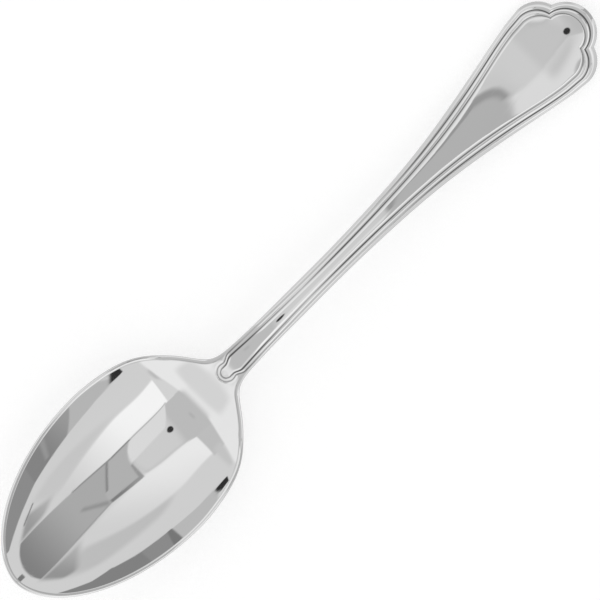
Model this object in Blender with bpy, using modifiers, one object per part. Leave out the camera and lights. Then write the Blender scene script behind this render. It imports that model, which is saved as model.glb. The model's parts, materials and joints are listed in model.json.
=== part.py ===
"""Tablespoon in one piece of polished steel, lying at rest with its bowl up.

Lengths are in millimetres until a mesh is made. A station is a distance from the bowl's tip along +X,
a half width is a distance from the spoon's middle plane along Y, and a height is above the table.
"""

import math

import bmesh
import bpy
import numpy as np

MM = 0.001

# Plan outline: a full oval at the tip, then a smooth side through (station, half width)
LENGTH = 205.0
BOWL_WIDEST = 43.0
BOWL_HALF_WIDTH = 23.2
TIP_FULLNESS = 0.54
LEAST_WIDTH = 0.001
SIDE_POINTS = [
    (43.0, 23.2), (50.0, 22.6), (56.0, 21.35), (60.0, 19.85), (64.0, 17.3), (67.0, 14.55), (70.0, 11.2),
    (72.0, 8.55), (74.0, 6.1), (76.0, 4.8), (78.0, 4.25), (81.0, 3.95), (88.0, 3.68), (100.0, 3.6),
    (115.0, 3.62), (130.0, 4.08), (145.0, 5.1), (160.0, 7.15), (175.0, 9.95), (186.0, 12.1), (192.5, 12.87),
]
RIM_WIDTH = 1.15
RIM_END = 72.0
BOWL_END = 72.7

# Thread border: a groove between the two threads, and the edge of the plain panel, as half widths with the
# slopes at both ends
GROOVE_POINTS = [
    (75.9, 2.36), (76.6, 2.2), (77.4, 2.45), (78.3, 2.95), (79.5, 3.12), (84.0, 2.95), (92.0, 2.8),
    (104.0, 2.6), (118.0, 2.62), (130.0, 2.96), (145.0, 3.82), (160.0, 5.65), (175.0, 8.42), (191.7, 11.15),
]
GROOVE_ENDS = (-0.2, 0.03)
PANEL_POINTS = [
    (75.9, 1.43), (76.6, 1.44), (77.4, 1.72), (78.3, 2.12), (79.5, 2.22), (84.0, 1.98), (92.0, 1.74),
    (104.0, 1.55), (118.0, 1.55), (130.0, 1.78), (145.0, 2.52), (160.0, 4.12), (175.0, 6.95), (191.2, 9.7),
]
PANEL_ENDS = (0.0, 0.03)
EDGE_LAND = 0.3
BORDER_START = 79.5

# Scalloped end: a shoulder arc and an end lobe that meet in a notch, for the outline, groove and panel
OUTLINE_END = {"shoulder": (192.5, 5.47), "radius": 7.4, "lobe_at": 197.0, "lobe": (8.0, 8.0)}
GROOVE_END = {"shoulder": (191.7, 5.25), "radius": 5.9, "lobe_at": 196.75, "lobe": (6.35, 6.5)}
PANEL_END = {"shoulder": (191.2, 3.75), "radius": 5.9, "lobe_at": 196.8, "lobe": (4.7, 5.5)}
SIDE_END = 187.5
NOTCH_HALVINGS = 50

# Round tongue of the border over the neck
KNOB_AT = 75.4
KNOB_GROOVE_RADIUS = 2.4
KNOB_PANEL_RADIUS = 1.45
KNOB_TURN = math.radians(100.0)
TONGUE_LIFT = 0.25
KNOB_RISE = (73.8, 77.2)
KNOB_FALL = (80.0, 90.0)

# Relief of the threads and the rounding of the edges
BEAD_RISE = 0.24
GROOVE_DEPTH = 0.12
FLAT_REACH = 0.7
PANEL_ROUNDING = (0.95, 0.45)
ROUNDING_CHANGE = (150.0, 180.0)
PANEL_RISE = 0.22
RIM_CROWN = 0.08
EDGE_DROP = 0.25

# Side profile: slope of the upper surface along the middle line with its change at both ends, and the
# bowl's lowest point
SLOPE_POINTS = [
    (0.0, -0.708), (8.0, -0.562), (16.0, -0.436), (26.0, -0.296), (34.0, -0.202), (41.8, -0.122),
    (48.0, -0.064), (55.1, -0.004), (60.0, 0.114), (63.0, 0.282), (65.0, 0.462), (67.0, 0.587),
    (69.0, 0.623), (71.0, 0.588), (73.0, 0.518), (75.0, 0.443), (77.5, 0.353), (80.5, 0.275),
    (84.5, 0.192), (88.5, 0.106), (92.0, 0.031), (94.7, -0.001), (97.5, -0.02), (105.0, -0.055),
    (117.0, -0.09), (132.0, -0.106), (135.5, -0.117), (140.0, -0.123), (150.0, -0.125), (160.0, -0.126),
    (167.0, -0.125), (171.0, -0.119), (175.6, -0.106), (180.0, -0.091), (185.0, -0.073), (190.0, -0.054),
    (194.0, -0.033), (197.3, 0.007), (200.5, 0.045), (205.0, 0.066),
]
SLOPE_ENDS = (0.021, 0.003)
LOW_POINT = (55.1, 1.13)
PROFILE_STEP = 0.01

# Crosswise bend: positive is a trough, negative is a crown. The bowl's floor is flatter than its sides, and
# the handle's end is rounder along its middle
BEND_POINTS = [
    (0.0, 0.024), (8.0, 0.0207), (16.0, 0.0186), (26.0, 0.0171), (36.0, 0.0166), (46.0, 0.0172),
    (55.0, 0.0191), (62.0, 0.02), (66.0, 0.0203), (70.0, 0.0212), (72.0, 0.022), (74.0, 0.0212),
    (76.0, 0.0145), (78.0, 0.003), (82.0, -0.022), (92.0, -0.038), (115.0, -0.038), (135.0, -0.033),
    (150.0, -0.025), (158.0, -0.0172), (165.0, -0.0124), (170.0, -0.0088), (175.0, -0.0057),
    (180.0, -0.0041), (186.0, -0.004), (190.0, -0.0044), (194.0, -0.0055), (197.3, -0.007), (205.0, -0.008),
]
BEND_ENDS = (-0.0005, 0.0)
BOWL_FLATNESS = 0.3
FLATNESS_END = (62.0, 74.0)
END_CROWN = 0.95
CROWN_START = (184.0, 199.0)

# Thickness: an even wall under the bowl with a rounded heel at the neck, and a deeper stem
BOWL_WALL = 1.3
HEEL_HALF_WIDTH = 4.0
STEM_DEPTH_POINTS = [
    (56.0, 1.3), (61.0, 1.5), (66.0, 2.2), (72.0, 3.1), (78.0, 3.65), (84.0, 3.75), (95.0, 3.45),
    (115.0, 3.1), (140.0, 2.85), (170.0, 2.72), (205.0, 2.7),
]
BACK_BEND_POINTS = [
    (74.0, 0.062), (85.0, 0.062), (105.0, 0.062), (125.0, 0.045), (145.0, 0.018), (165.0, 0.004),
    (185.0, 0.0), (205.0, 0.0),
]
BACK_BLEND = (74.0, 84.0)
END_BLEND = (50.0, 70.0)
NECK_BLEND = (74.0, 80.0)

# Mesh rows along the spoon and columns across each half, closer together at the panel's edge
TIP_ROWS = 18
BOWL_ROWS = 18
KNOB_ROWS = 8
HANDLE_STATIONS = [76.6, 77.0, 77.5, 78.1, 78.7, 79.5, 81.0, 84.0, 88.0, 93.0]
HANDLE_ROWS = 24
SHOULDER_ROWS = 7
LOBE_ROWS = 8
RIM_COLUMNS = 3
BOWL_COLUMNS = 8
THREAD_COLUMNS = 4
PANEL_COLUMNS = 4
PANEL_CLOSENESS = 1.5
BACK_COLUMNS = 8

# Polished steel, and in metres the box that cuts the flats and the gap that closes along the middle
STEEL_COLOUR = (0.78, 0.78, 0.79, 1.0)
STEEL_ROUGHNESS = 0.12
FOOT_CUT_SIZE = (0.24, 0.06, 0.01)
MERGE_GAP = 1e-6


def spline(points, start_slope=0.0, end_slope=0.0):
    """Smooth curve through (station, value) points with the given slopes at its ends."""
    x, y = np.array(points, float).T
    gap = np.diff(x)
    matrix = np.eye(len(x))
    wanted = np.zeros(len(x))
    wanted[0] = start_slope
    wanted[-1] = end_slope
    for i in range(1, len(x) - 1):
        before, after = 1 / gap[i - 1], 1 / gap[i]
        matrix[i, i - 1:i + 2] = before, 2 * (before + after), after
        wanted[i] = 3 * ((y[i] - y[i - 1]) * before**2 + (y[i + 1] - y[i]) * after**2)
    slope = np.linalg.solve(matrix, wanted)

    def value(station):
        i = np.clip(np.searchsorted(x, station) - 1, 0, len(x) - 2)
        t = np.clip((station - x[i]) / gap[i], 0.0, 1.0)
        ends = y[i] * (1 + 2 * t) * (1 - t)**2 + y[i + 1] * t**2 * (3 - 2 * t)
        return ends + gap[i] * t * (1 - t) * (slope[i] * (1 - t) - slope[i + 1] * t)

    return value


def running_height(slope):
    """Curve with the given slope that passes through the bowl's lowest point."""
    stations = np.arange(0.0, LENGTH + 1.0, PROFILE_STEP)
    slopes = slope(np.minimum(stations, LENGTH))
    rise = np.append(0.0, np.cumsum((slopes[1:] + slopes[:-1]) / 2 * PROFILE_STEP))
    heights = rise + LOW_POINT[1] - np.interp(LOW_POINT[0], stations, rise)
    return lambda station: np.interp(station, stations, heights)


def smooth_step(low, high, value):
    t = np.clip((value - low) / (high - low), 0.0, 1.0)
    return t * t * (3 - 2 * t)


side_curve = spline(SIDE_POINTS)
groove_curve = spline(GROOVE_POINTS, *GROOVE_ENDS)
panel_curve = spline(PANEL_POINTS, *PANEL_ENDS)
middle = running_height(spline(SLOPE_POINTS, *SLOPE_ENDS))
bend_curve = spline(BEND_POINTS, *BEND_ENDS)
depth_curve = spline(STEM_DEPTH_POINTS)
back_bend_curve = spline(BACK_BEND_POINTS)


def half_width(station):
    """Outline of the bowl, neck and handle side, up to the shoulder."""
    reach = np.clip((BOWL_WIDEST - station) / BOWL_WIDEST, 0.0, 1.0)
    oval = BOWL_HALF_WIDTH * (1 - reach**2)**TIP_FULLNESS
    return np.where(station < BOWL_WIDEST, oval, side_curve(station))


def face_height(x, y):
    """Upper surface without its rim and threads."""
    flatness = BOWL_FLATNESS * (1 - smooth_step(*FLATNESS_END, x)) - END_CROWN * smooth_step(*CROWN_START, x)
    reach = y / np.maximum(half_width(x), LEAST_WIDTH)
    return middle(x) + bend_curve(x) * y**2 * (1 - flatness + flatness * np.minimum(reach, 1.0)**2)


def back_height(x, y):
    """Lower surface: the bowl's wall and heel, blended into the rounded back of the stem."""
    step = 0.05
    behind = np.maximum(x - step, 0.0)
    along = (face_height(x + step, y) - face_height(behind, y)) / (x + step - behind)
    across = (face_height(x, y + step) - face_height(x, y - step)) / (2 * step)
    heel = (depth_curve(x) - BOWL_WALL) * np.exp(-(y / HEEL_HALF_WIDTH)**2)
    wall = face_height(x, y) - BOWL_WALL * np.sqrt(1 + along**2 + across**2) - heel
    stem = middle(x) - depth_curve(x) + back_bend_curve(x) * y**2
    share = smooth_step(*BACK_BLEND, x)
    return wall * (1 - share) + stem * share


def lobe_point(end, angle):
    return end["lobe_at"] + end["lobe"][0] * math.cos(angle), end["lobe"][1] * math.sin(angle)


def notch_angle(end):
    """Angle on the end lobe where the shoulder arc meets it."""
    low, high = 0.0, math.pi / 2
    for _ in range(NOTCH_HALVINGS):
        angle = (low + high) / 2
        x, y = lobe_point(end, angle)
        outside = math.hypot(x - end["shoulder"][0], y - end["shoulder"][1]) > end["radius"]
        low, high = (angle, high) if outside else (low, angle)
    return low


def shoulder_point(end, share):
    """Point on the shoulder arc, from its top at 0 to the notch at 1."""
    x, y = lobe_point(end, notch_angle(end))
    last = math.atan2(y - end["shoulder"][1], x - end["shoulder"][0])
    angle = math.pi / 2 + share * (last - math.pi / 2)
    return (
        end["shoulder"][0] + end["radius"] * math.cos(angle),
        end["shoulder"][1] + end["radius"] * math.sin(angle),
    )


def inward(station):
    """Unit vector from the outline towards the inside."""
    step = 0.01
    rise = half_width(station + step) - half_width(max(station - step, 0.0))
    normal = np.array([rise, -(step + min(station, step))])
    return normal / np.linalg.norm(normal)


def crest_distance(groove_gap):
    """Distance from the outline to the outer thread's crest."""
    return (EDGE_LAND + groove_gap) / 2


def side_start(station):
    """Outline point and the inner edge of the rim, or the outer thread's crest, at a station."""
    edge = np.array([station, float(half_width(station))])
    share = smooth_step(RIM_END, BORDER_START, station)
    groove_gap = edge[1] - groove_curve(max(station, BORDER_START))
    width = RIM_WIDTH * (1 - share) + crest_distance(groove_gap) * share
    return edge, edge + width * inward(station)


def bowl_lines():
    """Rows of the bowl, each an outline point, a rim point and a point on the middle line."""
    turns = np.linspace(0.0, math.pi / 2, TIP_ROWS + 1)
    stations = list(BOWL_WIDEST * (1 - np.cos(turns)))
    stations += list(np.linspace(BOWL_WIDEST, BOWL_END, BOWL_ROWS + 1)[1:])
    rows = []
    for station in stations:
        edge, rim = side_start(station)
        if station == 0.0:
            edge, rim = np.array([0.0, 0.0]), np.array([RIM_WIDTH, 0.0])
        end = rim[0] + (station - rim[0]) * smooth_step(*END_BLEND, station)
        rows.append([edge, rim, np.array([end, 0.0])])
    return rows


def knob_lines():
    """Rows that fan round the tongue's front, each also with a groove point and a panel point."""
    rows = []
    for turn in np.linspace(0.0, KNOB_TURN, KNOB_ROWS + 1):
        ahead = np.array([-math.cos(turn), math.sin(turn)])
        groove = np.array([KNOB_AT, 0.0]) + KNOB_GROOVE_RADIUS * ahead
        panel = np.array([KNOB_AT, 0.0]) + KNOB_PANEL_RADIUS * ahead
        rows.append([*side_start(groove[0]), groove, panel])
    return rows


def handle_lines():
    stations = HANDLE_STATIONS + list(np.linspace(HANDLE_STATIONS[-1], SIDE_END, HANDLE_ROWS + 1)[1:])
    rows = []
    for station in stations:
        groove = np.array([station, float(groove_curve(station))])
        panel = np.array([station, float(panel_curve(station))])
        rows.append([*side_start(station), groove, panel])
    return rows


def end_lines():
    """Rows round the shoulder and the end lobe."""
    ends = (OUTLINE_END, GROOVE_END, PANEL_END)
    points = []
    for share in np.linspace(0, 1, SHOULDER_ROWS + 1):
        points.append([shoulder_point(end, share) for end in ends])
    for share in np.linspace(1, 0, LOBE_ROWS + 1)[1:]:
        points.append([lobe_point(end, share * notch_angle(end)) for end in ends])
    rows = []
    for edge, groove, panel in np.array(points):
        gap = np.linalg.norm(groove - edge)
        rows.append([edge, edge + (groove - edge) * crest_distance(gap) / gap, groove, panel])
    return rows


def between(start, end, shares):
    """Plan points from start to end at the given shares of the way."""
    return [start + (end - start) * share for share in shares]


def even_shares(count):
    """Even shares of a way, up to 1 and without 0."""
    return np.linspace(0, 1, count + 1)[1:]


def bead(across):
    """Height of a round thread as a share of its rise: 1 at its crest, and 0 at its sides, -1 and 1."""
    return 1 - across**2


def rim_top(edge, rim):
    """Points from the outline to the rim's inner edge, or to the crest of the outer thread."""
    share = smooth_step(*NECK_BLEND, edge[0])
    width = np.linalg.norm(rim - edge)
    reach = width - EDGE_LAND
    points = []
    for t in np.linspace(0, 1, RIM_COLUMNS + 1):
        x, y = edge + (rim - edge) * t
        land = face_height(*rim) + RIM_CROWN * bead(2 * t - 1)
        side = min(width * (1 - t) / reach, 1.0)
        thread = face_height(x, y) - GROOVE_DEPTH + BEAD_RISE * reach * bead(side)
        points.append((x, y, land * (1 - share) + thread * share - EDGE_DROP * (1 - t)**3))
    return points


def bowl_top(rim, end):
    return [(x, y, face_height(x, y)) for x, y in between(rim, end, even_shares(BOWL_COLUMNS))]


def outer_thread(rim, groove):
    """Points from the outer thread's crest to the groove. Over the neck the thread flattens out."""
    share = smooth_step(*NECK_BLEND, rim[0])
    width = np.linalg.norm(groove - rim)
    shares = even_shares(BOWL_COLUMNS)
    points = []
    for t, (x, y) in zip(shares, between(rim, groove, shares)):
        thread = BEAD_RISE * width * bead(t) - GROOVE_DEPTH
        flat = GROOVE_DEPTH * (smooth_step(0.0, FLAT_REACH, width * (1 - t)) - 1)
        points.append((x, y, face_height(x, y) + thread * share + flat * (1 - share)))
    return points


def inner_thread(groove, panel, lift):
    rise = BEAD_RISE * np.linalg.norm(panel - groove) / 2
    shares = even_shares(THREAD_COLUMNS)
    points = []
    for t, (x, y) in zip(shares, between(groove, panel, shares)):
        points.append((x, y, face_height(x, y) + lift * t + rise * bead(2 * t - 1) - GROOVE_DEPTH))
    return points


def panel_rounding(station):
    """Width of the rounding along the panel's edge, which narrows towards the handle's end."""
    wide, narrow = PANEL_ROUNDING
    return wide + (narrow - wide) * smooth_step(*ROUNDING_CHANGE, station)


def panel_top(panel, lift):
    """Points from the panel's edge, which rounds down into the groove, to the middle line."""
    points = []
    for x, y in between(panel, np.array([panel[0], 0.0]), even_shares(PANEL_COLUMNS)**PANEL_CLOSENESS):
        outside = max(1 - (panel[1] - y) / panel_rounding(panel[0]), 0.0)
        points.append((x, y, face_height(x, y) + lift + PANEL_RISE * bead(outside) - GROOVE_DEPTH))
    return points


def row_points(lines):
    """Upper and lower points of one row, from the outline to the middle line."""
    edge, rim, *inside = lines
    if len(inside) == 1:
        top = rim_top(edge, rim) + bowl_top(rim, inside[0])
    else:
        groove, panel = inside
        lift = TONGUE_LIFT * smooth_step(*KNOB_RISE, panel[0]) * (1 - smooth_step(*KNOB_FALL, panel[0]))
        top = rim_top(edge, rim) + outer_thread(rim, groove)
        top += inner_thread(groove, panel, lift) + panel_top(panel, lift)
    inner_end = np.array([top[-1][0], 0.0])
    across = between(edge, inner_end, np.linspace(0, 1, BACK_COLUMNS + 1))
    back = [(x, y, back_height(x, y)) for x, y in across]
    return top, back


def join_rows(work, first, second, flip):
    """Faces between two rows of vertices. Columns that only one row has are left open."""
    for i in range(min(len(first), len(second)) - 1):
        corners = list(dict.fromkeys((first[i], second[i], second[i + 1], first[i + 1])))
        if len(corners) > 2:
            work.faces.new(corners[::-1] if flip else corners)


def half_spoon():
    """Mesh of the +Y half, open along the middle plane."""
    work = bmesh.new()
    known = {}

    def vertex(point):
        x, y, z = (float(value) for value in point)
        key = (round(x, 5), round(y, 5), round(z, 5))
        if key not in known:
            known[key] = work.verts.new(((x - LENGTH / 2) * MM, y * MM, z * MM))
        return known[key]

    rows = []
    for lines in bowl_lines() + knob_lines() + handle_lines() + end_lines():
        top, back = row_points(lines)
        rows.append(([vertex(point) for point in top], [vertex(point) for point in back]))
    for (top, back), (next_top, next_back) in zip(rows, rows[1:]):
        join_rows(work, top, next_top, False)
        join_rows(work, back, next_back, True)
        join_rows(work, [back[0], top[0]], [next_back[0], next_top[0]], False)
    mesh = bpy.data.meshes.new("tablespoon")
    work.to_mesh(mesh)
    work.free()
    mesh.shade_smooth()
    return mesh


def steel():
    material = bpy.data.materials.new("polished_steel")
    material.use_nodes = True
    shader = material.node_tree.nodes["Principled BSDF"]
    shader.inputs["Base Color"].default_value = STEEL_COLOUR
    shader.inputs["Metallic"].default_value = 1.0
    shader.inputs["Roughness"].default_value = STEEL_ROUGHNESS
    return material


def new_collection(name):
    collection = bpy.data.collections.new(name)
    bpy.context.scene.collection.children.link(collection)
    return collection


def foot_cutter():
    """Box under the table plane, which trims the two places where the spoon rests to flats."""
    mesh = bpy.data.meshes.new("foot_cutter")
    work = bmesh.new()
    bmesh.ops.create_cube(work, size=1.0)
    bmesh.ops.scale(work, vec=FOOT_CUT_SIZE, verts=work.verts)
    bmesh.ops.translate(work, vec=(0.0, 0.0, -FOOT_CUT_SIZE[2] / 2), verts=work.verts)
    work.to_mesh(mesh)
    work.free()
    cutter = bpy.data.objects.new("foot_cutter", mesh)
    cutter.hide_render = True
    cutter.display_type = "WIRE"
    new_collection("cutters").objects.link(cutter)
    return cutter


def tablespoon():
    spoon = bpy.data.objects.new("tablespoon", half_spoon())
    spoon.data.materials.append(steel())
    new_collection("tablespoon").objects.link(spoon)
    mirror = spoon.modifiers.new("other_half", "MIRROR")
    mirror.use_axis = (False, True, False)
    mirror.merge_threshold = MERGE_GAP
    flats = spoon.modifiers.new("rest_flats", "BOOLEAN")
    flats.operation = "DIFFERENCE"
    flats.solver = "EXACT"
    flats.object = foot_cutter()


for leftover in list(bpy.data.objects):
    bpy.data.objects.remove(leftover)
tablespoon()
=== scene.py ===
"""Looks of the tablespoon: a finely meshed spoon of polished steel on a white table under studio light.

Lengths are in millimetres and angles in degrees until a mesh or a node takes them. A station is a
distance from the bowl's tip along +X, a half width is a distance from the spoon's middle plane along Y,
and a height is above the table.
"""

import json
import math

import bpy
import numpy as np
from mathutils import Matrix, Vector

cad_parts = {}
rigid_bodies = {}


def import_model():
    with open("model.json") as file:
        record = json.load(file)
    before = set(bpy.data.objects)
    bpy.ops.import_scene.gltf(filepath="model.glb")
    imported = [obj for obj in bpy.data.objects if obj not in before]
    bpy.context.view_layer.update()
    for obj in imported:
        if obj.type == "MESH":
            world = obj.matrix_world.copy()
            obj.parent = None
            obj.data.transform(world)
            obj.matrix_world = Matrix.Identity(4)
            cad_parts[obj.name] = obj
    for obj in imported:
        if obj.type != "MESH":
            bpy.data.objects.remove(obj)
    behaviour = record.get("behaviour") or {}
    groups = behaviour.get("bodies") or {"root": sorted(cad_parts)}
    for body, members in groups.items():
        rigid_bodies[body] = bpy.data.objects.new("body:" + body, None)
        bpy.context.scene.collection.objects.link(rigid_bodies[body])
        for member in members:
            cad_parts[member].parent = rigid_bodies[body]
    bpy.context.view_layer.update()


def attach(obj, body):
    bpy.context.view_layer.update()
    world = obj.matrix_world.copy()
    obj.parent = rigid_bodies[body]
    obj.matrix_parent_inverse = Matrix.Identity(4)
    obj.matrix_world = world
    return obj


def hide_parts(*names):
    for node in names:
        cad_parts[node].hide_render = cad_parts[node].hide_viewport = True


MM = 0.001

# Plan outline: a full oval at the tip, then a smooth side through (station, half width)
LENGTH = 205.0
BOWL_WIDEST = 43.0
BOWL_HALF_WIDTH = 23.2
TIP_FULLNESS = 0.54
LEAST_WIDTH = 0.001
SIDE_POINTS = [
    (43.0, 23.2), (50.0, 22.6), (56.0, 21.35), (60.0, 19.85), (64.0, 17.3), (67.0, 14.55), (70.0, 11.2),
    (72.0, 8.55), (74.0, 6.1), (76.0, 4.8), (78.0, 4.25), (81.0, 3.95), (88.0, 3.68), (100.0, 3.6),
    (115.0, 3.62), (130.0, 4.08), (145.0, 5.1), (160.0, 7.15), (175.0, 9.95), (186.0, 12.1), (192.5, 12.87),
]
RIM_WIDTH = 1.15
RIM_END = 72.0
BOWL_END = 72.7

# Thread border: a groove between the two threads, and the edge of the plain panel, as half widths with
# the slopes at both ends
GROOVE_POINTS = [
    (75.9, 2.36), (76.6, 2.2), (77.4, 2.45), (78.3, 2.95), (79.5, 3.12), (84.0, 2.95), (92.0, 2.8),
    (104.0, 2.6), (118.0, 2.62), (130.0, 2.96), (145.0, 3.82), (160.0, 5.65), (175.0, 8.42), (191.7, 11.15),
]
GROOVE_ENDS = (-0.2, 0.03)
PANEL_POINTS = [
    (75.9, 1.43), (76.6, 1.44), (77.4, 1.72), (78.3, 2.12), (79.5, 2.22), (84.0, 1.98), (92.0, 1.74),
    (104.0, 1.55), (118.0, 1.55), (130.0, 1.78), (145.0, 2.52), (160.0, 4.12), (175.0, 6.95), (191.2, 9.7),
]
PANEL_ENDS = (0.0, 0.03)
EDGE_LAND = 0.3
BORDER_START = 79.5

# Scalloped end: a shoulder arc and an end lobe that meet in a notch, for the outline, groove and panel
OUTLINE_END = {"shoulder": (192.5, 5.47), "radius": 7.4, "lobe_at": 197.0, "lobe": (8.0, 8.0)}
GROOVE_END = {"shoulder": (191.7, 5.25), "radius": 5.9, "lobe_at": 196.75, "lobe": (6.35, 6.5)}
PANEL_END = {"shoulder": (191.2, 3.75), "radius": 5.9, "lobe_at": 196.8, "lobe": (4.7, 5.5)}
SIDE_START = 76.6
SIDE_END = 187.5
NOTCH_HALVINGS = 50

# Round tongue of the border over the neck
KNOB_AT = 75.4
KNOB_GROOVE_RADIUS = 2.4
KNOB_PANEL_RADIUS = 1.45
KNOB_TURN = math.radians(100.0)
TONGUE_LIFT = 0.25
KNOB_RISE = (73.8, 77.2)
KNOB_FALL = (80.0, 90.0)

# Relief of the threads and the rounding of the edges. A shade is how dark a groove is painted at a station
BEAD_RISE = 0.24
GROOVE_DEPTH = 0.12
GROOVE_REACH = 0.3
FLAT_REACH = 0.7
OUTER_GROOVE_SHADE = [
    (72.0, 0.5), (76.0, 0.9), (79.5, 1.0), (85.0, 0.4), (135.0, 0.4), (150.0, 1.3), (178.0, 1.4),
    (190.0, 1.1), (196.0, 1.3), (200.0, 1.9),
]
INNER_GROOVE_SHADE = [
    (72.0, 0.5), (75.0, 0.9), (79.0, 1.9), (83.0, 1.6), (90.0, 0.9), (98.0, 0.7), (104.0, 0.5),
    (112.0, 1.1), (118.0, 1.7), (127.0, 1.7), (136.0, 1.2), (165.0, 1.1), (180.0, 0.7), (205.0, 0.8),
]
# Painted shade in the crease inside the rim towards the neck
CREASE_SHADE = [(56.0, 0.0), (64.0, 0.3), (70.0, 0.45), (75.0, 0.45), (79.0, 0.0)]
PANEL_ROUNDING = (0.95, 0.45)
ROUNDING_CHANGE = (150.0, 180.0)
PANEL_RISE = 0.22
RIM_CROWN = 0.08
EDGE_RADIUS = 0.25

# Side profile: slope of the upper surface along the middle line with its change at both ends, and the
# bowl's lowest point
SLOPE_POINTS = [
    (0.0, -0.708), (8.0, -0.562), (16.0, -0.436), (26.0, -0.296), (34.0, -0.202), (41.8, -0.122),
    (48.0, -0.064), (55.1, -0.004), (60.0, 0.114), (63.0, 0.282), (65.0, 0.462), (67.0, 0.587),
    (69.0, 0.623), (71.0, 0.588), (73.0, 0.518), (75.0, 0.443), (77.5, 0.353), (80.5, 0.275),
    (84.5, 0.192), (88.5, 0.106), (92.0, 0.031), (94.7, -0.001), (97.5, -0.02), (105.0, -0.055),
    (117.0, -0.09), (132.0, -0.106), (135.5, -0.117), (140.0, -0.123), (150.0, -0.125), (160.0, -0.126),
    (167.0, -0.125), (171.0, -0.119), (175.6, -0.106), (180.0, -0.091), (185.0, -0.073), (190.0, -0.054),
    (194.0, -0.033), (197.3, 0.007), (200.5, 0.045), (205.0, 0.066),
]
SLOPE_ENDS = (0.021, 0.003)
LOW_POINT = (55.1, 1.13)
PROFILE_STEP = 0.01

# Crosswise bend: positive is a trough, negative is a crown. The bowl's floor is flatter than its sides,
# and the handle's end is rounder along its middle
BEND_POINTS = [
    (0.0, 0.024), (8.0, 0.0207), (16.0, 0.0186), (26.0, 0.0171), (36.0, 0.0166), (46.0, 0.0172),
    (55.0, 0.0191), (62.0, 0.02), (66.0, 0.0203), (70.0, 0.0212), (72.0, 0.022), (74.0, 0.0212),
    (76.0, 0.0145), (78.0, 0.003), (82.0, -0.022), (92.0, -0.038), (115.0, -0.038), (135.0, -0.033),
    (150.0, -0.025), (158.0, -0.0172), (165.0, -0.0124), (170.0, -0.0088), (175.0, -0.0057),
    (180.0, -0.0041), (186.0, -0.004), (190.0, -0.0044), (194.0, -0.0055), (197.3, -0.007), (205.0, -0.008),
]
BEND_ENDS = (-0.0005, 0.0)
BOWL_FLATNESS = 0.3
FLATNESS_END = (62.0, 74.0)
END_CROWN = 0.95
CROWN_START = (184.0, 199.0)

# Thickness: an even wall under the bowl with a rounded heel at the neck, and a deeper stem
BOWL_WALL = 1.3
HEEL_HALF_WIDTH = 4.0
STEM_DEPTH_POINTS = [
    (56.0, 1.3), (61.0, 1.5), (66.0, 2.2), (72.0, 3.1), (78.0, 3.65), (84.0, 3.75), (95.0, 3.45),
    (115.0, 3.1), (140.0, 2.85), (170.0, 2.72), (205.0, 2.7),
]
BACK_BEND_POINTS = [
    (74.0, 0.062), (85.0, 0.062), (105.0, 0.062), (125.0, 0.045), (145.0, 0.018), (165.0, 0.004),
    (185.0, 0.0), (205.0, 0.0),
]
BACK_BLEND = (74.0, 84.0)
END_BLEND = (50.0, 70.0)
NECK_BLEND = (74.0, 80.0)

# Mesh rows along the spoon and columns across each half, closer together at the panel's edge
TIP_ROWS = 80
BOWL_ROWS = 84
KNOB_ROWS = 22
HANDLE_ROWS = 220
SHOULDER_ROWS = 20
LOBE_ROWS = 26
EDGE_COLUMNS = 4
RIM_COLUMNS = 5
BOWL_COLUMNS = 22
THREAD_COLUMNS = 16
PANEL_COLUMNS = 14
PANEL_CLOSENESS = 1.5
BACK_COLUMNS = 14

# Camera straight above, turned so that the spoon lies corner to corner
CAMERA_HEIGHT = 5000.0
FRAME_WIDTH = 152.0
FRAME_LEVEL = 6.0
CAMERA_TURN = -45.0
CAMERA_OFFSET = (-0.98, -0.23)
SENSOR_WIDTH = 18.0

# Polished steel: its reflection at right angles, its scratches and smears, and the painted shade in its
# grooves
STEEL_COLOUR = (0.78, 0.78, 0.78)
STEEL_ROUGHNESS = 0.025
HAIRLINE_SCALE = 900.0
HAIRLINE_STRETCH = (0.04, 1.0, 1.0)
HAIRLINE_TURNS = (8.0, -37.0, 74.0)
HAIRLINE_RANGE = (0.62, 0.72)
HAIRLINE_ROUGHNESS = 0.02
HAIRLINE_STRENGTH = 0.02
HAIRLINE_DEPTH = 0.02
SMEAR_SCALE = 60.0
SMEAR_STRETCH = (0.4, 1.0, 1.0)
SMEAR_TURN = 20.0
SMEAR_DETAIL = 4.0
SMEAR_RANGE = (0.4, 0.75)
SMEAR_ROUGHNESS = 0.015
SMEAR_SHADE = 0.015
GROOVE_ROUGHNESS = 0.2
GROOVE_PAINTED_SHADE = 0.85

# Faint darker patches painted into the steel's colour on the handle's end: the share of light that each
# takes away, the softness of its edge and its corners as (station, Y), anticlockwise
PAINTED_END_PATCHES = [
    (0.1, 1.6, [(186.3, -6), (192, -5.5), (197, -3), (199, 0), (195, 8), (186.3, 10.5)]),
    (0.13, 2.2, [(187, -6.4), (194.5, -5.4), (200, -2.6), (200, -0.6), (187, -3.4)]),
]

# White table
FLOOR_RADIUS = 20000.0
FLOOR_SIDES = 64
FLOOR_GAP = 0.2
FLOOR_COLOUR = (0.65, 0.65, 0.65, 1.0)
FLOOR_GLOW = 0.52
TOOTH_SCALE = 3000.0
TOOTH_STRENGTH = 0.05

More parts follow.
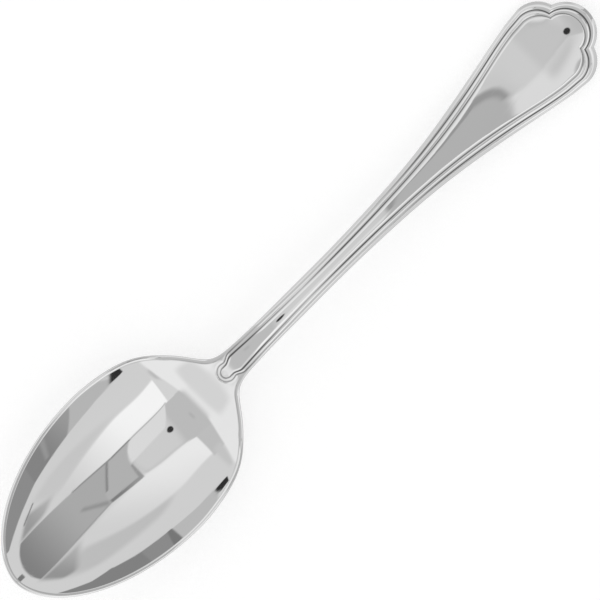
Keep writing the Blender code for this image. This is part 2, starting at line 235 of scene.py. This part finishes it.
# Studio around the spoon, as soft-edged panels in degrees from straight up: right is +X and up is +Y. Each
# panel has a brightness, the softness of its edge and its corners, anticlockwise, and covers those before
# it. A brightness is even, or it runs between two (brightness, place) ends
STUDIO_STRENGTH = 1.18
STUDIO_BASE = 0.67
LEAST_SPREAD = 0.0001
STUDIO_PANELS = {
    "upper_dim": (0.55, 4.0, [(8, 40), (44, 17), (56, 30), (46, 41), (14, 46)]),
    "lower_dim": (0.61, 4.0, [(4, -42), (28, -46), (46, -41), (40, -27), (30, -26)]),
    "upper_softbox": (
        ((0.88, (0, 18)), (0.68, (28, 32))), 2.5,
        [(-16, 16), (11, 9.5), (30, 9.5), (46, 13.5), (34, 25), (21, 34.5), (7.4, 41), (-3, 45), (-16, 48)],
    ),
    "lower_softbox": (
        ((0.98, (0, -25)), (0.68, (34, -25))), 2.5,
        [(-24, -48), (-10.5, -46), (2, -41), (14.6, -35.5), (27.2, -29.8), (38, -24.5), (46, -20),
         (15, -13.5), (-24, -13)],
    ),
    "lower_gap": (0.70, 1.0, [(-90, -52), (-19.5, -52), (-12.3, -18), (-90, -18)]),
    "upper_gap": (0.55, 1.0, [(-90, 22), (-8.2, 20), (-10.4, 50), (-90, 52)]),
    "ceiling": (
        0.535, 1.0,
        [(-90, -17.5), (-10, -18), (9, -14.8), (13.5, 0), (12, 10.2), (5, 14.5), (-8, 21), (-90, 24)],
    ),
    "ceiling_middle": (0.65, 2.5, [(-3, -17), (9, -14.8), (13.5, 0), (12, 10), (-1, 17)]),
    "ceiling_mark": (0.48, 1.5, [(-23, 2), (-18.5, 2), (-18.5, 8), (-23, 8)]),
    "upper_smudge": (0.59, 3.5, [(-25, 44), (-12, 44), (-13.5, 62), (-18, 76), (-23, 76)]),
    "lower_smudge": (0.53, 3.5, [(-30, -62), (-24, -60), (-22, -46), (-28, -40)]),
    "left_wall": (0.82, 9.0, [(-140, -120), (-45, -120), (-45, 120), (-140, 120)]),
    "upper_wall": (
        0.84, 4.0,
        [(-140, 16), (-42, 16), (-33, 33), (-26, 58), (-24, 78), (-50, 120), (-140, 120)],
    ),
    "lower_wall": (
        0.86, 4.0,
        [(-140, -120), (-50, -120), (-28, -75), (-28, -54), (-31, -38), (-39, -16), (-140, -14)],
    ),
    "left_dim": (0.70, 5.0, [(-140, -38), (-64, -38), (-58, -22), (-57, 10), (-62, 24), (-140, 24)]),
    "upper_wedge": (
        ((0.48, (42, 16)), (0.32, (57, 20))), 2.5,
        [(42, 12), (62.5, 13.5), (60, 21.5), (57, 28.5), (51, 30)],
    ),
    "lower_wedge": (
        ((0.48, (38, -28)), (0.34, (54, -26))), 2.5,
        [(38, -28), (50, -36), (57, -26), (58.5, -22.5), (44, -22)],
    ),
    "lower_stroke": (0.24, 0.5, [(45.5, -40), (53.7, -32), (53.2, -31), (45, -38.8)]),
    "stand": (
        ((0.43, (34, 0)), (0.23, (65, 0))), 0.7,
        [(15.5, -14.8), (58.5, -22), (60.8, -16.6), (62.7, -8.3), (63.6, 0), (63, 8), (61.8, 13.2),
         (23.5, 7.4)],
    ),
    "stand_top": (0.47, 0.6, [(13.2, -1), (24.2, -1), (26, 7.2), (12.9, 10.6)]),
    "stand_side": (0.47, 0.6, [(8.2, -15), (17.4, -15.2), (24.2, 0), (13.2, 0)]),
    "ceiling_light": (
        0.75, 0.7,
        [(-8.5, -17.8), (8.5, -15), (11, -10.8), (12.5, -6.5), (13, -2), (1, -3.2)],
    ),
    "notch": (0.33, 0.4, [(12.9, -1.2), (13.6, -1.2), (14.2, 8), (12.9, 11)]),
    "arch_low": (0.26, 0.5, [(17.2, -14.5), (18.2, -14.5), (24.3, 0), (23.2, 0)]),
    "arch_high": (
        ((0.33, (14, 9)), (0.22, (22, 7))), 0.5,
        [(13.2, 8.4), (25, 5.7), (25, 7.9), (13.2, 11)],
    ),
    "arch_right": (0.31, 1.2, [(25, 5.5), (33, -4), (34.5, -3), (26, 7.5)]),
    "upper_frame": (0.36, 0.5, [(25, 6.9), (46, 9.3), (46, 10.1), (25, 7.7)]),
    "lower_frame_near": (0.48, 0.5, [(-10, -18.9), (8, -15.7), (8, -14.7), (-10, -17.9)]),
    "lower_frame": (0.26, 0.5, [(8, -15.7), (16, -15.1), (16, -14), (8, -14.6)]),
    "lower_frame_far": (0.29, 0.5, [(16, -15.1), (32, -17.9), (32, -16.9), (16, -14)]),
    "tip_mark": (0.20, 0.4, [(65, -1.6), (68.5, -1.6), (68.5, 2.2), (65, 2.2)]),
    "upper_low": (0.52, 0.7, [(-9, 78), (-3.9, 73), (9.6, 67.7), (16.5, 65.4), (16.5, 120), (-9, 120)]),
    "lower_low": (
        0.50, 0.7,
        [(-9, -120), (19, -120), (19, -60.9), (13.1, -62.8), (4, -66.3), (-3.6, -71), (-9, -78)],
    ),
    "upper_room": (0.28, 0.7, [(16.2, 65.2), (32, 60.2), (32, 120), (11, 120)]),
    "upper_room_near": (0.24, 0.7, [(30, 61.3), (44, 53.6), (44, 120), (30, 120)]),
    "upper_room_far": (0.24, 0.7, [(42, 54), (53, 53.2), (53, 120), (42, 120)]),
    "upper_room_end": (0.24, 0.7, [(51, 54.2), (66, 42.8), (110, 60), (80, 120), (51, 120)]),
    "upper_room_side": (0.20, 0.5, [(16.2, 65), (18.2, 64.5), (19.5, 90), (14.3, 90)]),
    "lower_room": (
        ((0.35, (12, -75)), (0.25, (30, -75))), 0.7,
        [(-6, -120), (42, -120), (42, -51.8), (19, -60.8)],
    ),
    "lower_room_streak": (0.33, 1.2, [(25.5, -80), (28.5, -80), (31, -60), (29, -60)]),
    "lower_room_near": (0.28, 0.7, [(40, -120), (54, -120), (54, -41.6), (40, -52.8)]),
    "lower_room_far": (0.28, 0.7, [(52, -120), (90, -120), (110, -60), (65, -29.8), (52, -43.6)]),
    "upper_post": (0.03, 0.4, [(-12.8, 80.3), (-7.1, 77), (-8.2, 81.2), (-9.8, 84.5), (-13.2, 85.5)]),
    "lower_post": (0.03, 0.4, [(-15.6, -92), (-12.9, -92), (-6.9, -76), (-12.8, -80.3)]),
}

# Dark lens of the camera overhead, an oval in the same degrees
LENS_CENTRE = (-0.1, 0.5)
LENS_RADII = (1.45, 2.5)
LENS_LEVEL = 0.035
LENS_EDGE = (1.2, 0.8)


def spline(points, start_slope=0.0, end_slope=0.0):
    """Smooth curve through (station, value) points with the given slopes at its ends."""
    x, y = np.array(points, float).T
    gap = np.diff(x)
    matrix = np.eye(len(x))
    wanted = np.zeros(len(x))
    wanted[0] = start_slope
    wanted[-1] = end_slope
    for i in range(1, len(x) - 1):
        before, after = 1 / gap[i - 1], 1 / gap[i]
        matrix[i, i - 1:i + 2] = before, 2 * (before + after), after
        wanted[i] = 3 * ((y[i] - y[i - 1]) * before**2 + (y[i + 1] - y[i]) * after**2)
    slope = np.linalg.solve(matrix, wanted)

    def value(station):
        i = np.clip(np.searchsorted(x, station) - 1, 0, len(x) - 2)
        t = np.clip((station - x[i]) / gap[i], 0.0, 1.0)
        ends = y[i] * (1 + 2 * t) * (1 - t)**2 + y[i + 1] * t**2 * (3 - 2 * t)
        return ends + gap[i] * t * (1 - t) * (slope[i] * (1 - t) - slope[i + 1] * t)

    return value


def running_height(slope):
    """Curve with the given slope that passes through the bowl's lowest point."""
    stations = np.arange(0.0, LENGTH + 1.0, PROFILE_STEP)
    slopes = slope(np.minimum(stations, LENGTH))
    rise = np.append(0.0, np.cumsum((slopes[1:] + slopes[:-1]) / 2 * PROFILE_STEP))
    heights = rise + LOW_POINT[1] - np.interp(LOW_POINT[0], stations, rise)
    return lambda station: np.interp(station, stations, heights)


def smooth_step(low, high, value):
    t = np.clip((value - low) / (high - low), 0.0, 1.0)
    return t * t * (3 - 2 * t)


side_curve = spline(SIDE_POINTS)
groove_curve = spline(GROOVE_POINTS, *GROOVE_ENDS)
panel_curve = spline(PANEL_POINTS, *PANEL_ENDS)
middle = running_height(spline(SLOPE_POINTS, *SLOPE_ENDS))
bend_curve = spline(BEND_POINTS, *BEND_ENDS)
depth_curve = spline(STEM_DEPTH_POINTS)
back_bend_curve = spline(BACK_BEND_POINTS)


def half_width(station):
    """Outline of the bowl, neck and handle side, up to the shoulder."""
    reach = np.clip((BOWL_WIDEST - station) / BOWL_WIDEST, 0.0, 1.0)
    oval = BOWL_HALF_WIDTH * (1 - reach**2)**TIP_FULLNESS
    return np.where(station < BOWL_WIDEST, oval, side_curve(station))


def face_height(x, y):
    """Upper surface without its rim and threads."""
    bowl_share = 1 - smooth_step(*FLATNESS_END, x)
    flatness = BOWL_FLATNESS * bowl_share - END_CROWN * smooth_step(*CROWN_START, x)
    reach = y / np.maximum(half_width(x), LEAST_WIDTH)
    return middle(x) + bend_curve(x) * y**2 * (1 - flatness + flatness * np.minimum(reach, 1.0)**2)


def back_height(x, y):
    """Lower surface: the bowl's wall and heel, blended into the rounded back of the stem."""
    step = 0.05
    behind = np.maximum(x - step, 0.0)
    along = (face_height(x + step, y) - face_height(behind, y)) / (x + step - behind)
    across = (face_height(x, y + step) - face_height(x, y - step)) / (2 * step)
    heel = (depth_curve(x) - BOWL_WALL) * np.exp(-(y / HEEL_HALF_WIDTH)**2)
    wall = face_height(x, y) - BOWL_WALL * np.sqrt(1 + along**2 + across**2) - heel
    stem = middle(x) - depth_curve(x) + back_bend_curve(x) * y**2
    share = smooth_step(*BACK_BLEND, x)
    return wall * (1 - share) + stem * share


def lobe_point(end, angle):
    return end["lobe_at"] + end["lobe"][0] * math.cos(angle), end["lobe"][1] * math.sin(angle)


def notch_angle(end):
    """Angle on the end lobe where the shoulder arc meets it."""
    low, high = 0.0, math.pi / 2
    for _ in range(NOTCH_HALVINGS):
        angle = (low + high) / 2
        x, y = lobe_point(end, angle)
        outside = math.hypot(x - end["shoulder"][0], y - end["shoulder"][1]) > end["radius"]
        low, high = (angle, high) if outside else (low, angle)
    return low


def shoulder_point(end, share):
    """Point on the shoulder arc, from its top at 0 to the notch at 1."""
    x, y = lobe_point(end, notch_angle(end))
    last = math.atan2(y - end["shoulder"][1], x - end["shoulder"][0])
    angle = math.pi / 2 + share * (last - math.pi / 2)
    return (
        end["shoulder"][0] + end["radius"] * math.cos(angle),
        end["shoulder"][1] + end["radius"] * math.sin(angle),
    )


def inward(station):
    """Unit vector from the outline towards the inside."""
    step = 0.01
    rise = half_width(station + step) - half_width(max(station - step, 0.0))
    normal = np.array([rise, -(step + min(station, step))])
    return normal / np.linalg.norm(normal)


def crest_distance(groove_gap):
    """Distance from the outline to the outer thread's crest."""
    return (EDGE_LAND + groove_gap) / 2


def side_start(station):
    """Outline point and the inner edge of the rim, or the outer thread's crest, at a station."""
    edge = np.array([station, float(half_width(station))])
    share = smooth_step(RIM_END, BORDER_START, station)
    groove_gap = edge[1] - groove_curve(max(station, BORDER_START))
    width = RIM_WIDTH * (1 - share) + crest_distance(groove_gap) * share
    return edge, edge + width * inward(station)


def bowl_lines():
    """Rows of the bowl, each an outline point, a rim point and a point on the middle line."""
    turns = np.linspace(0.0, math.pi / 2, TIP_ROWS + 1)
    stations = list(BOWL_WIDEST * (1 - np.cos(turns)))
    stations += list(np.linspace(BOWL_WIDEST, BOWL_END, BOWL_ROWS + 1)[1:])
    rows = []
    for station in stations:
        edge, rim = side_start(station)
        if station == 0.0:
            edge, rim = np.array([0.0, 0.0]), np.array([RIM_WIDTH, 0.0])
        end = rim[0] + (station - rim[0]) * smooth_step(*END_BLEND, station)
        rows.append([edge, rim, np.array([end, 0.0])])
    return rows


def knob_lines():
    """Rows that fan round the tongue's front, each also with a groove point and a panel point."""
    rows = []
    for turn in np.linspace(0.0, KNOB_TURN, KNOB_ROWS + 1):
        ahead = np.array([-math.cos(turn), math.sin(turn)])
        groove = np.array([KNOB_AT, 0.0]) + KNOB_GROOVE_RADIUS * ahead
        panel = np.array([KNOB_AT, 0.0]) + KNOB_PANEL_RADIUS * ahead
        rows.append([*side_start(groove[0]), groove, panel])
    return rows


def handle_lines():
    rows = []
    for station in np.linspace(SIDE_START, SIDE_END, HANDLE_ROWS + 1):
        groove = np.array([station, float(groove_curve(station))])
        panel = np.array([station, float(panel_curve(station))])
        rows.append([*side_start(station), groove, panel])
    return rows


def end_lines():
    """Rows round the shoulder and the end lobe."""
    ends = (OUTLINE_END, GROOVE_END, PANEL_END)
    points = []
    for share in np.linspace(0, 1, SHOULDER_ROWS + 1):
        points.append([shoulder_point(end, share) for end in ends])
    for share in np.linspace(1, 0, LOBE_ROWS + 1)[1:]:
        points.append([lobe_point(end, share * notch_angle(end)) for end in ends])
    rows = []
    for edge, groove, panel in np.array(points):
        gap = np.linalg.norm(groove - edge)
        rows.append([edge, edge + (groove - edge) * crest_distance(gap) / gap, groove, panel])
    return rows


def along_line(start, end, shares):
    """Plan points from start to end, at the given shares of the way, as two arrays."""
    return (start + (end - start) * np.asarray(shares)[:, None]).T


def edge_distances(width, columns):
    """Distances from the outline that follow a quarter round and then run on evenly."""
    turns = np.linspace(0.0, math.pi / 2, EDGE_COLUMNS + 1)
    return np.append(
        EDGE_RADIUS * (1 - np.cos(turns)),
        np.linspace(EDGE_RADIUS, width, columns + 1)[1:],
    )


def edge_round(distance):
    """Depth of the rounded edge below a flat top."""
    short = np.clip(EDGE_RADIUS - distance, 0.0, EDGE_RADIUS)
    return EDGE_RADIUS - np.sqrt(EDGE_RADIUS**2 - short**2)


def bead(across):
    """Height of a round thread as a share of its rise: 1 at its crest, and 0 at its sides, -1 and 1."""
    return 1 - across**2


def groove_share(distance, station, shade_points):
    """Painted shade and roughness of a groove: the shade at its station in the bottom, falling to 0 at its
    reach.
    """
    shade = np.interp(station, *np.array(shade_points).T)
    return np.clip(shade * (1 - distance / GROOVE_REACH), 0.0, 1.0)


def close_ends(columns):
    """Shares from 0 to 1 that lie closer together towards both ends, without the first."""
    return (1 - np.cos(np.linspace(0, math.pi, columns + 1)[1:])) / 2


def rim_top(edge, rim):
    """Points from the outline to the rim's inner edge, or to the crest of the outer thread."""
    width = np.linalg.norm(rim - edge)
    distance = edge_distances(width, RIM_COLUMNS)
    t = distance / width
    x, y = along_line(edge, rim, t)
    land = face_height(*rim) + RIM_CROWN * bead(2 * t - 1)
    reach = width - EDGE_LAND
    side = np.minimum((width - distance) / reach, 1.0)
    thread = face_height(x, y) - GROOVE_DEPTH + BEAD_RISE * reach * bead(side)
    share = smooth_step(*NECK_BLEND, edge[0])
    height = land * (1 - share) + thread * share - edge_round(distance)
    return np.array([x, y, height, groove_share(width - distance, edge[0], CREASE_SHADE)]).T


def bowl_top(rim, end):
    t = close_ends(BOWL_COLUMNS)
    x, y = along_line(rim, end, t)
    crease = groove_share(np.linalg.norm(end - rim) * t, rim[0], CREASE_SHADE)
    return np.array([x, y, face_height(x, y), crease]).T


def outer_thread(rim, groove):
    """Points from the outer thread's crest to the groove. Over the neck the thread flattens out."""
    t = close_ends(BOWL_COLUMNS)
    x, y = along_line(rim, groove, t)
    share = smooth_step(*NECK_BLEND, rim[0])
    width = np.linalg.norm(groove - rim)
    thread = BEAD_RISE * width * bead(t) - GROOVE_DEPTH
    flat = GROOVE_DEPTH * (smooth_step(0.0, FLAT_REACH, width * (1 - t)) - 1)
    height = face_height(x, y) + thread * share + flat * (1 - share)
    crease = groove_share(width * t, rim[0], CREASE_SHADE)
    dark = groove_share(width * (1 - t), groove[0], OUTER_GROOVE_SHADE)
    return np.array([x, y, height, np.maximum(crease, dark)]).T


def inner_thread(groove, panel, lift):
    t = np.linspace(0, 1, THREAD_COLUMNS + 1)[1:]
    x, y = along_line(groove, panel, t)
    width = np.linalg.norm(panel - groove)
    thread = BEAD_RISE * width / 2 * bead(2 * t - 1) - GROOVE_DEPTH
    height = face_height(x, y) + lift * t + thread
    outer = groove_share(width * t, groove[0], OUTER_GROOVE_SHADE)
    inner = groove_share(width * (1 - t), panel[0], INNER_GROOVE_SHADE)
    return np.array([x, y, height, np.maximum(outer, inner)]).T


def panel_rounding(station):
    """Width of the rounding along the panel's edge, which narrows towards the handle's end."""
    wide, narrow = PANEL_ROUNDING
    return wide + (narrow - wide) * smooth_step(*ROUNDING_CHANGE, station)


def panel_top(panel, lift):
    """Points from the panel's edge, which rounds down into the groove, to the middle line."""
    shares = np.linspace(0, 1, PANEL_COLUMNS + 1)[1:]**PANEL_CLOSENESS
    x, y = along_line(panel, np.array([panel[0], 0.0]), shares)
    outside = np.maximum(1 - (panel[1] - y) / panel_rounding(panel[0]), 0.0)
    height = face_height(x, y) + lift + PANEL_RISE * bead(outside) - GROOVE_DEPTH
    return np.array([x, y, height, groove_share(panel[1] - y, panel[0], INNER_GROOVE_SHADE)]).T


def row_points(lines):
    """Upper and lower points of one row, from the outline to the middle line, with their groove shares."""
    edge, rim, *inside = lines
    if len(inside) == 1:
        top = [rim_top(edge, rim), bowl_top(rim, inside[0])]
    else:
        groove, panel = inside
        lift = TONGUE_LIFT * smooth_step(*KNOB_RISE, panel[0]) * (1 - smooth_step(*KNOB_FALL, panel[0]))
        top = [rim_top(edge, rim), outer_thread(rim, groove), inner_thread(groove, panel, lift)]
        top.append(panel_top(panel, lift))
    top = np.concatenate(top)
    inner_end = np.array([top[-1][0], 0.0])
    width = np.linalg.norm(inner_end - edge)
    distance = edge_distances(width, BACK_COLUMNS)
    x, y = along_line(edge, inner_end, distance / width)
    height = np.maximum(back_height(x, y) + edge_round(distance), 0.0)
    return top, np.array([x, y, height, np.zeros(len(x))]).T


class SpoonMesh:
    """Vertices, faces and groove shares of the whole spoon, with points in one place made only once."""

    def __init__(self):
        self.known = {}
        self.places = []
        self.grooves = []
        self.faces = []

    def vertex(self, point):
        x, y, z, groove = point
        key = (round(x, 4), round(y, 4), round(z, 4))
        if key not in self.known:
            self.known[key] = len(self.places)
            self.places.append(((x - LENGTH / 2) * MM, y * MM, z * MM))
            self.grooves.append(groove)
        return self.known[key]

    def row(self, points):
        return [self.vertex(point) for point in points]

    def join(self, first, second, flip):
        """Faces between two rows of vertices. Columns that only one row has are left open."""
        for i in range(min(len(first), len(second)) - 1):
            corners = list(dict.fromkeys((first[i], second[i], second[i + 1], first[i + 1])))
            if len(corners) > 2:
                self.faces.append(corners[::-1] if flip else corners)

    def add_half(self, rows, side):
        """The half on one side of the middle plane: side is 1 for +Y and -1 for -Y."""
        turn = np.array([1.0, side, 1.0, 1.0])
        numbered = []
        for top, back in rows:
            numbered.append((self.row(top * turn), self.row(back * turn)))
        for (top, back), (next_top, next_back) in zip(numbered, numbered[1:]):
            self.join(top, next_top, side > 0)
            self.join(back, next_back, side < 0)
            self.join([back[0], top[0]], [next_back[0], next_top[0]], side > 0)


def spoon_piece():
    lines = bowl_lines() + knob_lines() + handle_lines() + end_lines()
    rows = [row_points(line) for line in lines]
    spoon = SpoonMesh()
    spoon.add_half(rows, 1)
    spoon.add_half(rows, -1)
    mesh = bpy.data.meshes.new("polished_spoon")
    mesh.from_pydata(spoon.places, [], spoon.faces)
    # The groove attribute carries the painted shade of the grooves and creases, and their extra roughness
    groove = mesh.attributes.new("groove", "FLOAT", "POINT")
    groove.data.foreach_set("value", np.array(spoon.grooves, np.float32))
    mesh.shade_smooth()
    mesh.materials.append(steel())
    piece = bpy.data.objects.new("polished_spoon", mesh)
    bpy.context.scene.collection.objects.link(piece)
    return piece


def new_node(tree, kind, settings=None, **inputs):
    """A node with the given settings. An input goes by its name, or as i0, i1 and so on by its place."""
    node = tree.nodes.new(kind)
    for name, value in (settings or {}).items():
        setattr(node, name, value)
    for name, value in inputs.items():
        socket = node.inputs[int(name[1:]) if name[1:].isdigit() else name]
        if isinstance(value, bpy.types.NodeSocket):
            tree.links.new(value, socket)
        else:
            socket.default_value = value
    return node


def maths(tree, operation, *values):
    inputs = {f"i{i}": value for i, value in enumerate(values)}
    return new_node(tree, "ShaderNodeMath", {"operation": operation}, **inputs).outputs[0]


def ramp(tree, value, low, high, start=0.0, end=1.0):
    """Smooth change from start to end as the value goes from low to high."""
    inputs = {"i0": value, "i1": low, "i2": high, "i3": start, "i4": end}
    settings = {"interpolation_type": "SMOOTHSTEP"}
    return new_node(tree, "ShaderNodeMapRange", settings, **inputs).outputs[0]


def noise(tree, place, scale, stretch=(1.0, 1.0, 1.0), turn=0.0, detail=2.0):
    """Noise on the object's own coordinates, stretched and turned about Z."""
    mapping = new_node(tree, "ShaderNodeMapping", None, Vector=place, Scale=stretch)
    mapping.inputs["Rotation"].default_value = (0.0, 0.0, math.radians(turn))
    texture = new_node(tree, "ShaderNodeTexNoise", None, Vector=mapping.outputs[0], Scale=scale)
    texture.inputs["Detail"].default_value = detail
    return texture.outputs["Fac"]


def soft_mask(tree, place, softness, corners):
    """1 inside a convex outline and 0 outside, with a soft edge."""
    mask = None
    for start, end in zip(corners, corners[1:] + corners[:1]):
        along = (Vector(end) - Vector(start)).normalized()
        facing = (-along.y, along.x, 0.0)
        edge = facing[0] * start[0] + facing[1] * start[1]
        dot = new_node(tree, "ShaderNodeVectorMath", {"operation": "DOT_PRODUCT"}, i0=place, i1=facing)
        side = ramp(tree, dot.outputs["Value"], edge - softness, edge + softness)
        mask = side if mask is None else maths(tree, "MULTIPLY", mask, side)
    return mask


def painted_end_darkening(tree, place):
    """Share of light that the painted darker patches on the handle's end take away."""
    spot = new_node(tree, "ShaderNodeVectorMath", {"operation": "SCALE"}, i0=place, Scale=1 / MM)
    total = 0.0
    for strength, softness, corners in PAINTED_END_PATCHES:
        outline = [(station - LENGTH / 2, y) for station, y in corners]
        mask = soft_mask(tree, spot.outputs[0], softness, outline)
        total = maths(tree, "MULTIPLY_ADD", mask, strength, total)
    return total


def steel():
    """Mirror polished steel with hairline scratches, smears, painted dark patches and painted groove shade.
    """
    material = bpy.data.materials.new("polished_steel")
    material.use_nodes = True
    tree = material.node_tree
    shader = tree.nodes["Principled BSDF"]
    shader.inputs["Metallic"].default_value = 1.0
    place = new_node(tree, "ShaderNodeTexCoord").outputs["Object"]
    groove = new_node(tree, "ShaderNodeAttribute", {"attribute_name": "groove"}).outputs["Fac"]

    hairlines = None
    for turn in HAIRLINE_TURNS:
        grain = noise(tree, place, HAIRLINE_SCALE, HAIRLINE_STRETCH, turn)
        lines = ramp(tree, grain, *HAIRLINE_RANGE)
        hairlines = lines if hairlines is None else maths(tree, "MAXIMUM", hairlines, lines)
    clouds = noise(tree, place, SMEAR_SCALE, SMEAR_STRETCH, SMEAR_TURN, SMEAR_DETAIL)
    smears = ramp(tree, clouds, *SMEAR_RANGE)

    rough = maths(tree, "MULTIPLY_ADD", smears, SMEAR_ROUGHNESS, STEEL_ROUGHNESS)
    rough = maths(tree, "MULTIPLY_ADD", hairlines, HAIRLINE_ROUGHNESS, rough)
    rough = maths(tree, "MULTIPLY_ADD", groove, GROOVE_ROUGHNESS, rough)
    tree.links.new(rough, shader.inputs["Roughness"])

    shade = maths(tree, "MULTIPLY_ADD", smears, -SMEAR_SHADE, 1.0)
    # Painted shade: the grooves and creases are darkened in the steel's colour
    shade = maths(tree, "MULTIPLY_ADD", groove, -GROOVE_PAINTED_SHADE, shade)
    # Painted shade: darker patches on the handle's end are taken out of the steel's colour
    shade = maths(tree, "SUBTRACT", shade, painted_end_darkening(tree, place))
    colour = new_node(tree, "ShaderNodeVectorMath", {"operation": "SCALE"}, i0=STEEL_COLOUR)
    tree.links.new(shade, colour.inputs["Scale"])
    tree.links.new(colour.outputs[0], shader.inputs["Base Color"])

    bump = new_node(tree, "ShaderNodeBump", None, Height=hairlines, Strength=HAIRLINE_STRENGTH)
    bump.inputs["Distance"].default_value = HAIRLINE_DEPTH * MM
    tree.links.new(bump.outputs[0], shader.inputs["Normal"])
    return material


def seen_directly(tree):
    """1 for rays that show the background: from the camera, or off metal or through glass."""
    path = new_node(tree, "ShaderNodeLightPath").outputs
    shown = maths(tree, "MAXIMUM", path["Is Camera Ray"], path["Is Glossy Ray"])
    return maths(tree, "MAXIMUM", shown, path["Is Transmission Ray"])


def table_finish():
    """Matt white card with a fine tooth, which shows as white and keeps the spoon's shadow."""
    material = bpy.data.materials.new("white_table")
    material.use_nodes = True
    tree = material.node_tree
    tree.nodes.remove(tree.nodes["Principled BSDF"])
    place = new_node(tree, "ShaderNodeTexCoord").outputs["Object"]
    grain = noise(tree, place, TOOTH_SCALE)
    tooth = new_node(tree, "ShaderNodeBump", None, Height=grain, Strength=TOOTH_STRENGTH)
    matt = new_node(tree, "ShaderNodeBsdfDiffuse", None, Color=FLOOR_COLOUR, Normal=tooth.outputs[0])
    glow = maths(tree, "MULTIPLY", seen_directly(tree), FLOOR_GLOW)
    light = new_node(tree, "ShaderNodeEmission", None, Strength=glow)
    both = new_node(tree, "ShaderNodeAddShader", None, i0=matt.outputs[0], i1=light.outputs[0])
    tree.links.new(both.outputs[0], tree.nodes["Material Output"].inputs["Surface"])
    return material


def floor_piece():
    bpy.ops.mesh.primitive_circle_add(
        vertices=FLOOR_SIDES,
        radius=FLOOR_RADIUS * MM,
        fill_type="NGON",
        location=(0.0, 0.0, -FLOOR_GAP * MM),
    )
    floor = bpy.context.object
    floor.name = "floor"
    floor.data.materials.append(table_finish())


def panel_brightness(tree, place, light):
    """A panel's even brightness, or one that runs between two (brightness, place) ends."""
    if isinstance(light, float):
        return light
    (first, start), (last, end) = light
    along = Vector(end) - Vector(start)
    dot = new_node(tree, "ShaderNodeVectorMath", {"operation": "DOT_PRODUCT"}, i0=place, i1=(*along, 0.0))
    return ramp(tree, dot.outputs["Value"], along.dot(Vector(start)), along.dot(Vector(end)), first, last)


def sky_degrees(tree):
    """Degrees to the right and up from straight up, for the way that a ray goes."""
    way = new_node(tree, "ShaderNodeTexCoord").outputs["Generated"]
    x, y, z = new_node(tree, "ShaderNodeSeparateXYZ", None, Vector=way).outputs
    tilt = maths(tree, "ARCCOSINE", z)
    spread = maths(tree, "MAXIMUM", maths(tree, "SINE", tilt), LEAST_SPREAD)
    scale = maths(tree, "DIVIDE", maths(tree, "MULTIPLY", tilt, math.degrees(1.0)), spread)
    return maths(tree, "MULTIPLY", x, scale), maths(tree, "MULTIPLY", y, scale)


def lens_mask(tree, right, up):
    """1 inside the oval of the lens and 0 outside, with a soft edge."""
    across = maths(tree, "DIVIDE", maths(tree, "SUBTRACT", right, LENS_CENTRE[0]), LENS_RADII[0])
    along = maths(tree, "DIVIDE", maths(tree, "SUBTRACT", up, LENS_CENTRE[1]), LENS_RADII[1])
    square = maths(tree, "ADD", maths(tree, "POWER", across, 2.0), maths(tree, "POWER", along, 2.0))
    return ramp(tree, maths(tree, "SQRT", square), *LENS_EDGE)


def blend_level(tree, share, below, above):
    mix = new_node(tree, "ShaderNodeMix", {"data_type": "FLOAT"}, Factor=share, A=below, B=above)
    return mix.outputs["Result"]


def studio_light():
    """World that the spoon reflects: soft panels round an overhead lens. The camera itself sees white."""
    world = bpy.data.worlds.new("studio")
    bpy.context.scene.world = world
    world.use_nodes = True
    tree = world.node_tree
    right, up = sky_degrees(tree)
    place = new_node(tree, "ShaderNodeCombineXYZ", None, X=right, Y=up).outputs[0]
    level = STUDIO_BASE
    for light, softness, corners in STUDIO_PANELS.values():
        mask = soft_mask(tree, place, softness, corners)
        level = blend_level(tree, mask, level, panel_brightness(tree, place, light))
    level = blend_level(tree, lens_mask(tree, right, up), level, LENS_LEVEL)

    camera_ray = new_node(tree, "ShaderNodeLightPath").outputs["Is Camera Ray"]
    shown = blend_level(tree, camera_ray, maths(tree, "MULTIPLY", level, STUDIO_STRENGTH), 1.0)
    tree.links.new(shown, tree.nodes["Background"].inputs["Strength"])
    tree.nodes["Background"].inputs["Color"].default_value = (1.0, 1.0, 1.0, 1.0)


def overhead_camera():
    camera = bpy.data.cameras.new("camera")
    camera.sensor_width = SENSOR_WIDTH
    camera.lens = SENSOR_WIDTH * (CAMERA_HEIGHT - FRAME_LEVEL) / FRAME_WIDTH
    view = bpy.data.objects.new("camera", camera)
    view.location = (CAMERA_OFFSET[0] * MM, CAMERA_OFFSET[1] * MM, CAMERA_HEIGHT * MM)
    view.rotation_euler = (0.0, 0.0, math.radians(CAMERA_TURN))
    bpy.context.scene.collection.objects.link(view)
    bpy.context.scene.camera = view


for leftover in list(bpy.data.objects):
    bpy.data.objects.remove(leftover)
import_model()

overhead_camera()
studio_light()
floor_piece()
spoon = spoon_piece()
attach(spoon, "root")
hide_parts("tablespoon")
bpy.context.scene.view_settings.view_transform = "Standard"
